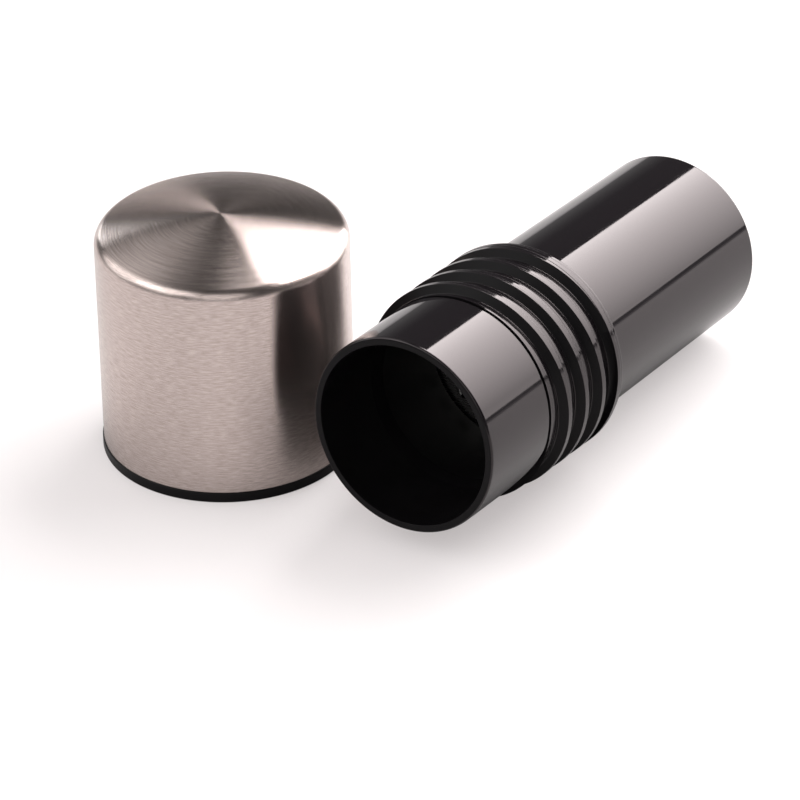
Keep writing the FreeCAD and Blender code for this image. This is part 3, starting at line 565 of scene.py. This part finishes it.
screwTree = threadTree()
collar = {
    "front": 24.0, "rear": 50.3, "bore": 21.9, "keyEnd": 34.7,
    "flange": {"radius": 25.15, "from": 48.8, "step": 0.1, "frontRound": 0.04, "rearRound": 0.3},
    "ringGroove": {"from": 47.55, "to": 48.65, "floor": 22.65},
    "washerSeat": {"radius": 23.8, "from": 49.7, "edge": 0.08},
    "flankFaces": 0.5,
}
flange, ringGroove, seat = collar["flange"], collar["ringGroove"], collar["washerSeat"]
collarScrew = {
    "Columns": thread["columns"], "Pitch": thread["pitch"], "Flank": 1.102, "Crest Width": 1.5,
    "Crest Start": 28.218, "Root": 23.2, "Crest": 25.1, "Low": collar["front"], "High": flange["from"],
    "Key Radius": 22.5, "Key Half": 1.6, "Material": threadGloss,
}
frontEdge = (collar["bore"], -1, collar["front"])
collarRows = [frontEdge] + threadRows(collarScrew) + plainRows([
    (flange["radius"] - flange["step"], flange["from"], 0),
    (flange["radius"], flange["from"], flange["frontRound"]),
    (flange["radius"], collar["rear"], flange["rearRound"]),
    (seat["radius"], collar["rear"], seat["edge"]),
    (seat["radius"], seat["from"], 0),
    (collar["bore"], seat["from"], 0),
    (collar["bore"], ringGroove["to"], 0),
    (ringGroove["floor"], ringGroove["to"], 0),
    (ringGroove["floor"], ringGroove["from"], 0),
    (collar["bore"], ringGroove["from"], 0),
    (collar["bore"], collar["keyEnd"], 0),
]) + [(collar["bore"], -1, collar["keyEnd"]), frontEdge]
threadCollar = threaded("threadCollar", collarRows, collarScrew, millFrame)
dress(threadCollar, threadGloss, innerBlackAndPaintedShade)
# faces along the axis, the thread's flanks, take the duller satin black as painted shade; the bore takes it
# as its inner finish
painted(threadCollar, millFrame, lambda outward, along: abs(along) > collar["flankFaces"] or outward < 0)
hand(threadCollar, "head", "black_gloss", "thread_collar")
print("threaded collar done")


# barrel, the long rear tube
barrel = {
    "outer": 21.6, "rearOuter": 21.15, "length": 115.5, "rimRound": 0.57, "bore": 19.4, "edge": 0.1,
    "neck": {"radius": 21.8, "from": 46.6, "to": 50.6, "groove": 21.15, "grooveFrom": 47.6, "grooveTo": 48.6},
    "bead": {"radius": 24.7, "to": 51.7, "frontRound": 0.15, "rearRound": 0.35, "foot": 0.25},
    "seat": {"radius": 19.9, "from": 104.5, "rimRound": 0.15},
}
neck, bead, seat = barrel["neck"], barrel["bead"], barrel["seat"]
tubeMesh = turnedMesh("barrelTube", [
    (barrel["bore"], neck["from"], barrel["edge"]),
    (neck["radius"], neck["from"], barrel["edge"]),
    (neck["radius"], neck["grooveFrom"], 0),
    (neck["groove"], neck["grooveFrom"], 0),
    (neck["groove"], neck["grooveTo"], 0),
    (neck["radius"], neck["grooveTo"], 0),
    (neck["radius"], neck["to"], 0),
    (bead["radius"], neck["to"], bead["frontRound"]),
    (bead["radius"], bead["to"], bead["rearRound"]),
    (barrel["outer"], bead["to"], bead["foot"]),
    (barrel["rearOuter"], barrel["length"], barrel["rimRound"]),
    (seat["radius"], barrel["length"], seat["rimRound"]),
    (seat["radius"], seat["from"], 0),
    (barrel["bore"], seat["from"], barrel["edge"]),
])


# rings of like parts: each ring holds First Count more places than the one inside it
def ringTree():
    tree, given = newTree("ringPlaces", {
        "Part": "Object", "Rings": "Int", "First Count": "Int", "First Radius": "Float", "Ring Step": "Float",
        "Height": "Float", "Material": "Material"})
    first = given["First Count"]
    rings = given["Rings"]
    pairs = calc(tree, "MULTIPLY", rings, calc(tree, "ADD", rings, 1.0))
    total = calc(tree, "MULTIPLY", first, calc(tree, "DIVIDE", pairs, 2.0))
    index = put(tree, "GeometryNodeInputIndex").outputs[0]
    # the rings inside hold first * ring * (ring + 1) / 2 places; that is solved for the ring, and the small
    # addition keeps a rounding error from losing one
    eighths = calc(tree, "DIVIDE", calc(tree, "MULTIPLY", index, 8.0), first)
    root = calc(tree, "SQRT", calc(tree, "ADD", eighths, 1.0))
    solved = calc(tree, "DIVIDE", calc(tree, "SUBTRACT", root, 1.0), 2.0)
    ring = calc(tree, "FLOOR", calc(tree, "ADD", solved, 0.0001))
    outer = calc(tree, "ADD", ring, 1.0)
    inside = calc(tree, "MULTIPLY", first, calc(tree, "DIVIDE", calc(tree, "MULTIPLY", ring, outer), 2.0))
    share = calc(tree, "DIVIDE", calc(tree, "SUBTRACT", index, inside), calc(tree, "MULTIPLY", first, outer))
    turn = calc(tree, "MULTIPLY", share, 2 * math.pi)
    radius = calc(tree, "ADD", given["First Radius"], calc(tree, "MULTIPLY", ring, given["Ring Step"]))
    place = put(tree, "ShaderNodeCombineXYZ", {
        0: calc(tree, "MULTIPLY", radius, calc(tree, "COSINE", turn)),
        1: calc(tree, "MULTIPLY", radius, calc(tree, "SINE", turn)),
        2: given["Height"]}).outputs[0]
    points = put(tree, "GeometryNodePoints", {"Count": total, "Position": place}).outputs[0]
    aim = put(tree, "ShaderNodeCombineXYZ", {2: turn}).outputs[0]
    part = put(tree, "GeometryNodeObjectInfo", {"Object": given["Part"]}).outputs["Geometry"]
    copies = put(tree, "GeometryNodeInstanceOnPoints", {
        "Points": points, "Instance": part, "Rotation": aim}).outputs["Instances"]
    both = put(tree, "GeometryNodeJoinGeometry")
    tree.links.new(copies, both.inputs[0])
    tree.links.new(given["Geometry"], both.inputs[0])
    return closeTree(tree, both.outputs[0], given["Material"])


def ringed(name, partMesh, material, place, count, radius, height=0.0, rings=1, step=0.0, base=None):
    part = bpy.data.objects.new(name + "Part", partMesh)
    mesh = grown(name, placeTree, {
        "Part": part, "Rings": rings, "First Count": count, "First Radius": radius, "Ring Step": step,
        "Height": height, "Material": material}, base)
    bpy.data.objects.remove(part)
    return finished(name, mesh, place)


placeTree = ringTree()
ear = {
    "count": 3, "holeAt": 17.0, "hole": 1.05, "inward": 2.0, "outward": 2.6, "half": 3.5,
    "low": 46.6, "high": 48.6, "degrees": 10,
}


def earColumn(angle):
    # the ear is swept round its own screw hole, out to the sides of a rectangle
    across, aside = math.cos(math.radians(angle)), math.sin(math.radians(angle))
    reach = min((ear["outward"] if across > 0 else ear["inward"]) / max(abs(across), 1e-6),
                ear["half"] / max(abs(aside), 1e-6))
    return [(ear["hole"], ear["low"]), (reach, ear["low"]), (reach, ear["high"]), (ear["hole"], ear["high"])]


outerCorner, innerCorner = (
    math.degrees(math.atan2(ear["half"], ear[side])) for side in ("outward", "inward"))
earCorners = {outerCorner, 360 - outerCorner, 180 - innerCorner, 180 + innerCorner}
earMesh = sweptMesh("ear", [
    (angle, earColumn(angle)) for angle in sorted({*range(0, 361, ear["degrees"]), *earCorners})])
barrelTube = ringed(
    "barrelTube", earMesh, millGloss, millFrame, count=ear["count"], radius=ear["holeAt"], base=tubeMesh)
hand(barrelTube, "barrel", "black_gloss", "barrel")
print("barrel done")


# screws with a socket in the head, which stands towards lower heights unless over is -1. The part of the head
# under the socket and its round are shares of its height
screwHead = {"sides": 6, "columns": 48, "under": 0.4, "lip": 0.05, "round": 0.3, "tipCut": 0.3}
screws = {
    "carrierScrews": {
        "shape": {"head": 1.9, "tall": 1.3, "shank": 1.0, "reach": 4.7, "socket": 1.9, "over": -1},
        "at": {"count": 3, "radius": 17.0, "height": 48.6}, "body": "barrel", "node": "carrier_screws"},
    "bladeScrew": {
        "shape": {"head": 2.5, "tall": 0.3, "shank": 1.25, "reach": 4.5, "socket": 2.4},
        "at": {"count": 1, "radius": 0.0, "height": 43.5}, "body": "barrel", "node": "blade_screw"},
    "guideScrews": {
        "shape": {"head": 1.9, "tall": 1.3, "shank": 1.0, "reach": 4.2, "socket": 1.9},
        "at": {"count": 3, "radius": 11.8, "height": 46.65}, "body": "cap", "node": "guide_screws"},
    "pusherScrew": {
        "shape": {"head": 2.9, "tall": 1.0, "shank": 1.5, "reach": 12.0, "socket": 3.0},
        "at": {"count": 1, "radius": 0.0, "height": 6.4}, "body": "pusher", "node": "pusher_screw"},
}


def screwMesh(name, head, tall, shank, reach, socket, over=1):
    side = 360 / screwHead["sides"]
    floor = -screwHead["under"] * tall
    columns = []
    for i in range(screwHead["columns"] + 1):
        angle = 360 * i / screwHead["columns"]
        wall = socket / 2 / math.cos(math.radians(angle % side - side / 2))
        profile = [(0, floor), (wall, floor), (wall, -tall)] + rounded([
            (wall + screwHead["lip"], -tall, 0),
            (head, -tall, screwHead["round"] * tall),
            (head, 0, 0),
            (shank, 0, 0),
            (shank, reach - screwHead["tipCut"], 0),
            (shank - screwHead["tipCut"], reach, 0),
            (0, reach, 0),
        ], closed=False, steps=4, guard=0.02)
        columns.append((angle, [(r, over * z) for r, z in profile]))
    return sweptMesh(name, columns, closed=False)


for name, screw in screws.items():
    inMill = screw["body"] == "barrel"
    piece = ringed(name, screwMesh(name, **screw["shape"]), millScrews if inMill else capScrews,
                   millFrame if inMill else capFrame, **screw["at"])
    hand(piece, screw["body"], "screw_steel", screw["node"])
print("screws done")


# raised teeth on the flat grating blade, in four rings
tooth = {"half": 0.5, "back": 1.3, "mouth": -0.2, "rise": 0.5, "steel": 0.1, "across": 6, "along": 4}
toothRings = {"count": 6, "radius": 5.6, "step": 4.0, "rings": 4, "height": 43.5}


def toothMesh():
    # a thin arch that rises from the blade at its back and is open at its mouth
    points, faces = [], []
    wide, deep = tooth["across"] + 1, tooth["along"] + 1
    for layer in range(2):
        for j in range(deep):
            for i in range(wide):
                x = tooth["half"] * (2 * i / tooth["across"] - 1)
                y = tooth["back"] + (tooth["mouth"] - tooth["back"]) * j / tooth["along"]
                arch = math.sqrt(max(0, 1 - (x / tooth["half"]) ** 2))
                lifted = arch * math.sin(math.pi / 2 * j / tooth["along"])
                points.append((x, y, layer * tooth["steel"] - tooth["rise"] * lifted))
    size = wide * deep
    for j in range(deep - 1):
        for i in range(wide - 1):
            a = j * wide + i
            faces.append((a, a + 1, a + 1 + wide, a + wide))
            faces.append((a + size, a + size + wide, a + size + 1 + wide, a + size + 1))
    rim = list(range(wide)) + [j * wide + wide - 1 for j in range(1, deep)]
    rim += [size - 1 - i for i in range(1, wide)] + [j * wide for j in range(deep - 2, 0, -1)]
    faces += [(a, a + size, b + size, b) for a, b in zip(rim, rim[1:] + rim[:1])]
    mesh = bpy.data.meshes.new("tooth")
    mesh.from_pydata(points, [], faces)
    return mesh


bladeTeeth = ringed("bladeTeeth", toothMesh(), bladeSteel, millFrame, **toothRings)
hand(bladeTeeth, "barrel", "blade_steel")
print("blade teeth done")


# steel cap: brushed round its side, spun on its top
capShell = {
    "radius": 28.5, "height": 57.8, "crown": 4.76, "shoulder": 2.84, "wall": 0.6, "foot": 2.4,
    "outerRound": 0.12, "innerRound": 0.1, "straight": 20, "crownSteps": 22, "shoulderSteps": 14,
    "segments": 320, "topFaces": 0.9,
}


def crowned(shrink):
    # the crown is part of a ball, and the shoulder rolls from it into the side
    edge = capShell["radius"] - shrink
    ball = (edge ** 2 + capShell["crown"] ** 2) / (2 * capShell["crown"])
    roll = capShell["shoulder"] - shrink
    middle = capShell["height"] - shrink - ball
    rollRadius = edge - roll
    lean = math.asin(rollRadius / (ball - roll))
    rollHeight = middle + (ball - roll) * math.cos(lean)
    points = []
    for k in range(capShell["crownSteps"]):
        turn = lean * k / capShell["crownSteps"]
        points.append((ball * math.sin(turn), middle + ball * math.cos(turn)))
    for k in range(capShell["shoulderSteps"] + 1):
        turn = lean + (math.pi / 2 - lean) * k / capShell["shoulderSteps"]
        points.append((rollRadius + roll * math.sin(turn), rollHeight + roll * math.cos(turn)))
    return points


inside = capShell["radius"] - capShell["wall"]
sideTop = capShell["foot"] + capShell["straight"]
shellProfile = crowned(0) + rounded([
    (capShell["radius"], sideTop, 0),
    (capShell["radius"], capShell["foot"], capShell["outerRound"]),
    (inside, capShell["foot"], capShell["innerRound"]),
    (inside, sideTop, 0),
], closed=False, steps=4) + crowned(capShell["wall"])[::-1]
shellColumns = [(360 * i / capShell["segments"], shellProfile) for i in range(capShell["segments"] + 1)]
steelCap = finished("steelCap", sweptMesh("steelCap", shellColumns, closed=False), capFrame)
dress(steelCap, sideSteel, topSteel)
painted(steelCap, capFrame, lambda outward, along: along > capShell["topFaces"])
hand(steelCap, "cap", "cap_steel", "cap_shell")
print("steel cap done")

# liner of the cap: the black foot ring, the sleeve with the inner thread, and a flat top
liner = {
    "foot": 28.75, "footTall": 2.4, "footRound": 0.3, "ledgeRound": 0.25, "sleeve": 27.85, "top": 51.35,
    "topRound": 2.19, "under": 48.85, "leadIn": 25.7, "upperBore": 24.4, "boreRound": 0.2,
}
capScrew = {
    "Columns": thread["columns"], "Pitch": thread["pitch"], "Flank": 1.131, "Crest Width": 1.9,
    "Crest Start": -4.958, "Root": 23.55, "Crest": 25.5, "Low": 1.2, "High": 24.5,
    "Key Radius": 23.0, "Key Half": 0.0, "Material": linerBlack,
}
linerRows = plainRows([
    (0, liner["top"], 0),
    (liner["sleeve"], liner["top"], liner["topRound"]),
    (liner["sleeve"], liner["footTall"], 0),
    (liner["foot"], liner["footTall"], liner["ledgeRound"]),
    (liner["foot"], 0, liner["footRound"]),
    (liner["leadIn"], 0, liner["boreRound"]),
    (liner["leadIn"], capScrew["Low"], 0),
]) + threadRows(capScrew) + plainRows([
    (liner["upperBore"], capScrew["High"], 0),
    (liner["upperBore"], liner["under"], liner["boreRound"]),
    (0, liner["under"], 0),
])
capLiner = threaded("capLiner", linerRows, capScrew, capFrame)
hand(capLiner, "cap", "black_liner", "cap_liner")
print("cap liner done")


# spike plate of the pusher: points on two rings
plate = {"outer": 19.0, "bore": 1.55, "low": 6.4, "high": 6.9, "edge": 0.08}
spike = {"tall": 1.2, "base": 0.8, "tip": 0.12, "waist": 0.45, "root": 0.1}
spikeRings = {"count": 6, "radius": 8.5, "step": 7.0, "rings": 2, "height": plate["low"]}
spikeMesh = turnedMesh("spike", [
    (0, -spike["tall"], 0),
    (spike["tip"], -spike["tall"], 0),
    (spike["waist"] * spike["base"], -spike["waist"] * spike["tall"], 0),
    (spike["base"], 0, 0),
    (spike["base"], spike["root"], 0),
    (0, spike["root"], 0),
], closed=False, segments=16)
plateMesh = turnedMesh("plate", [
    (plate["bore"], plate["low"], 0),
    (plate["outer"], plate["low"], plate["edge"]),
    (plate["outer"], plate["high"], plate["edge"]),
    (plate["bore"], plate["high"], 0),
], segments=128)
spikePlate = ringed("spikePlate", spikeMesh, plateSteel, capFrame, base=plateMesh, **spikeRings)
hand(spikePlate, "pusher", "blade_steel", "spike_plate")


# coil spring between the pusher's head and the top of the cap
def coilTree():
    tree, given = newTree("coil", {
        "Coil Radius": "Float", "Wire": "Float", "Low": "Float", "High": "Float", "Turns": "Float",
        "Turn Steps": "Int", "Wire Sides": "Int", "Material": "Material"})
    path = put(tree, "GeometryNodeCurveSpiral", {
        "Resolution": given["Turn Steps"], "Rotations": given["Turns"], "Start Radius": given["Coil Radius"],
        "End Radius": given["Coil Radius"], "Height": calc(tree, "SUBTRACT", given["High"], given["Low"]),
    }).outputs["Curve"]
    thin = calc(tree, "DIVIDE", given["Wire"], 2.0)
    section = put(tree, "GeometryNodeCurvePrimitiveCircle", {
        "Resolution": given["Wire Sides"], "Radius": thin}).outputs["Curve"]
    wire = put(tree, "GeometryNodeCurveToMesh", {
        "Curve": path, "Profile Curve": section, "Fill Caps": True}).outputs["Mesh"]
    up = put(tree, "ShaderNodeCombineXYZ", {2: given["Low"]}).outputs[0]
    lifted = put(tree, "GeometryNodeSetPosition", {"Geometry": wire, "Offset": up}).outputs["Geometry"]
    return closeTree(tree, lifted, given["Material"])


spring = {
    "Coil Radius": 6.3, "Wire": 1.0, "Low": 33.05, "High": 48.3, "Turns": 6.0, "Turn Steps": 48,
    "Wire Sides": 14, "Material": springSteel,
}
plungerSpring = finished("plungerSpring", grown("plungerSpring", coilTree(), spring), capFrame, sharp=60)
hand(plungerSpring, "cap", "spring_steel", "plunger_spring")
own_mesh(plungerSpring)
print("spike plate and spring done")


# finishes for the CAD pieces that stay
cadFinish = {
    "chamber_seal": millRubber, "plug_seal": millRubber, "cap_gasket": capRubber,
    "snap_ring": millScrews, "glide_washer": nylon, "blade_carrier": innerBlackAndPaintedShade, "blade_disc": bladeSteel,
    "base_plug": innerBlackAndPaintedShade, "plunger_guide": linerBlack, "plunger_stem": linerBlack, "pusher_disc": capGloss,
    "spring_washer": capScrews,
}
for name, material in cadFinish.items():
    dress(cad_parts[name], material)
print("inner pieces dressed")


# pale floor, which glows by itself; the glow falls where something stands close to it, a painted contact
# shadow, and mirrors see a dimmer glow, painted shade in the reflections
floorLook = {
    "half": 4.0, "drop": 0.00005, "colour": (0.30, 0.30, 0.30, 1), "roughness": 0.55,
    "glow": (1, 0.94, 0.94, 1), "contactReach": 0.04, "contactSamples": 8,
    "seen": {"level": (0.42, 0.68), "open": (0.0, 1.0)},
    "mirrored": {"level": (0.02, 0.39), "open": (0.35, 0.85)},
}
half = floorLook["half"]
floorMesh = bpy.data.meshes.new("floor")
floorMesh.from_pydata(
    [(-half, -half, 0), (half, -half, 0), (half, half, 0), (-half, half, 0)], [], [(0, 1, 2, 3)])
floor = bpy.data.objects.new("floor", floorMesh)
floor.location.z = -floorLook["drop"]
bpy.context.scene.collection.objects.link(floor)
floorPaint, floorTree, floorShader = newFinish("paleFloor", Roughness=floorLook["roughness"])
rays = put(floorTree, "ShaderNodeLightPath").outputs
# the occlusion measures how open the floor is and drives the painted contact shadow
paintedShadeOpenness = put(floorTree, "ShaderNodeAmbientOcclusion", {
    "Distance": floorLook["contactReach"]}, samples=floorLook["contactSamples"]).outputs["AO"]
throughMirror = calc(floorTree, "MAXIMUM", rays["Is Glossy Ray"], rays["Is Transmission Ray"])
lifts = []
for key, ray in (("seen", rays["Is Camera Ray"]), ("mirrored", throughMirror)):
    level = spread(floorTree, paintedShadeOpenness, *floorLook[key]["level"], *floorLook[key]["open"])
    lifts.append(calc(floorTree, "MULTIPLY", ray, level))
lift = calc(floorTree, "ADD", *lifts)
feed(floorTree, floorShader, {
    "Base Color": floorLook["colour"], "Emission Color": floorLook["glow"], "Emission Strength": lift})
dress(floor, floorPaint)


# soft boxes, whose glow grows from one corner to the opposite one; they face the middle of the object
boxes = {
    "rearBox": {"aim": (0.30, 0.74, 0.563), "away": 1.1, "size": (1.15, 1.43), "glow": (2.4, 11.4),
                "tone": (1, 0.955, 0.945, 1)},
    "leftBox": {"aim": (-0.86, 0.42, 0.27), "away": 1.2, "size": (0.22, 0.5), "glow": (1.9, 1.9),
                "tone": (0.94, 0.98, 1, 1)},
}
boxMiddle = (0.0, 0.0, 0.03)
cornerBand = (0.2, 1.7)


def softBox(name, aim, away, size, glow, tone):
    lamp = bpy.data.lights.new(name, "AREA")
    lamp.shape = "RECTANGLE"
    lamp.size, lamp.size_y = size
    lamp.energy = math.pi * size[0] * size[1]  # makes the glow the same for every size
    lamp.use_nodes = True
    tree = lamp.node_tree
    across = put(tree, "ShaderNodeNewGeometry").outputs["Parametric"]
    u, v, _ = put(tree, "ShaderNodeSeparateXYZ", {0: across}).outputs
    feed(tree, tree.nodes["Emission"], {
        "Color": tone, "Strength": spread(tree, calc(tree, "ADD", u, v), *glow, *cornerBand)})
    box = bpy.data.objects.new(name, lamp)
    direction = Vector(aim).normalized()
    box.matrix_world = (Matrix.Translation(Vector(boxMiddle) + direction * away)
                        @ direction.to_track_quat("Z", "Y").to_matrix().to_4x4())
    box.visible_camera = False
    bpy.context.scene.collection.objects.link(box)


for name, box in boxes.items():
    softBox(name, **box)

# surroundings: a dim sky with pale patches for the steel to mirror, and plain white where the camera sees it
sky = {
    "tone": (1, 0.985, 0.98, 1), "horizon": 0.26, "overhead": 0.06, "climb": 0.3, "seen": 1.0,
    "patches": {
        "rearGlow": {"aim": (-0.15, 0.38, 0.91), "reach": (3, 8.5), "level": 1.3},
        "leftSky": {"aim": (-0.64, 0.36, 0.68), "reach": (8, 20), "level": 0.36},
        "leftFront": {"aim": (-0.78, -0.25, 0.57), "reach": (14, 34), "level": 1.5},
        "frontLeft": {"aim": (-0.33, -0.66, 0.67), "reach": (12, 28), "level": 1.8},
        "frontRight": {"aim": (0.42, -0.72, 0.55), "reach": (12, 30), "level": 0.9},
    },
}
world = bpy.data.worlds.new("studio")
bpy.context.scene.world = world
world.use_nodes = True
tree = world.node_tree
look = put(tree, "ShaderNodeTexCoord").outputs["Generated"]
climb = put(tree, "ShaderNodeSeparateXYZ", {"Vector": look}).outputs["Z"]
shade = spread(tree, climb, sky["horizon"], sky["overhead"], 0.0, sky["climb"])
for patch in sky["patches"].values():
    facing = put(tree, "ShaderNodeVectorMath", {
        0: look, 1: Vector(patch["aim"]).normalized()}, operation="DOT_PRODUCT").outputs["Value"]
    inner, outer = (math.cos(math.radians(angle)) for angle in patch["reach"])
    lit = put(tree, "ShaderNodeMapRange", {
        "Value": facing, "From Min": outer, "From Max": inner, "To Max": patch["level"],
    }, interpolation_type="SMOOTHSTEP").outputs["Result"]
    shade = calc(tree, "ADD", shade, lit)
straight = put(tree, "ShaderNodeLightPath").outputs["Is Camera Ray"]
feed(tree, tree.nodes["Background"], {
    "Color": sky["tone"], "Strength": mixed(tree, straight, shade, sky["seen"])})

# camera, fitted to the photo; its turn is to the left of straight ahead
eye = {
    "from": (0.615736, -0.92327, 0.67049), "turn": 33.8934, "down": 31.1318, "roll": -1.36623,
    "lens": 254.725, "sensor": 36,
}
turn, down, roll = (math.radians(eye[key]) for key in ("turn", "down", "roll"))
right = Vector((math.cos(turn), math.sin(turn), 0))
ahead = Vector((-math.sin(turn) * math.cos(down), math.cos(turn) * math.cos(down), -math.sin(down)))
upward = right.cross(ahead)
sideways = math.cos(roll) * right + math.sin(roll) * upward
skyward = math.cos(roll) * upward - math.sin(roll) * right
cameraData = bpy.data.cameras.new("photoView")
cameraData.lens = eye["lens"]
cameraData.sensor_width = eye["sensor"]
camera = bpy.data.objects.new("photoView", cameraData)
facing = Matrix((sideways, skyward, -ahead)).transposed().to_4x4()
camera.matrix_world = Matrix.Translation(Vector(eye["from"])) @ facing
bpy.context.scene.collection.objects.link(camera)
bpy.context.scene.camera = camera
bpy.context.scene.view_settings.view_transform = "Standard"
print("stage set")
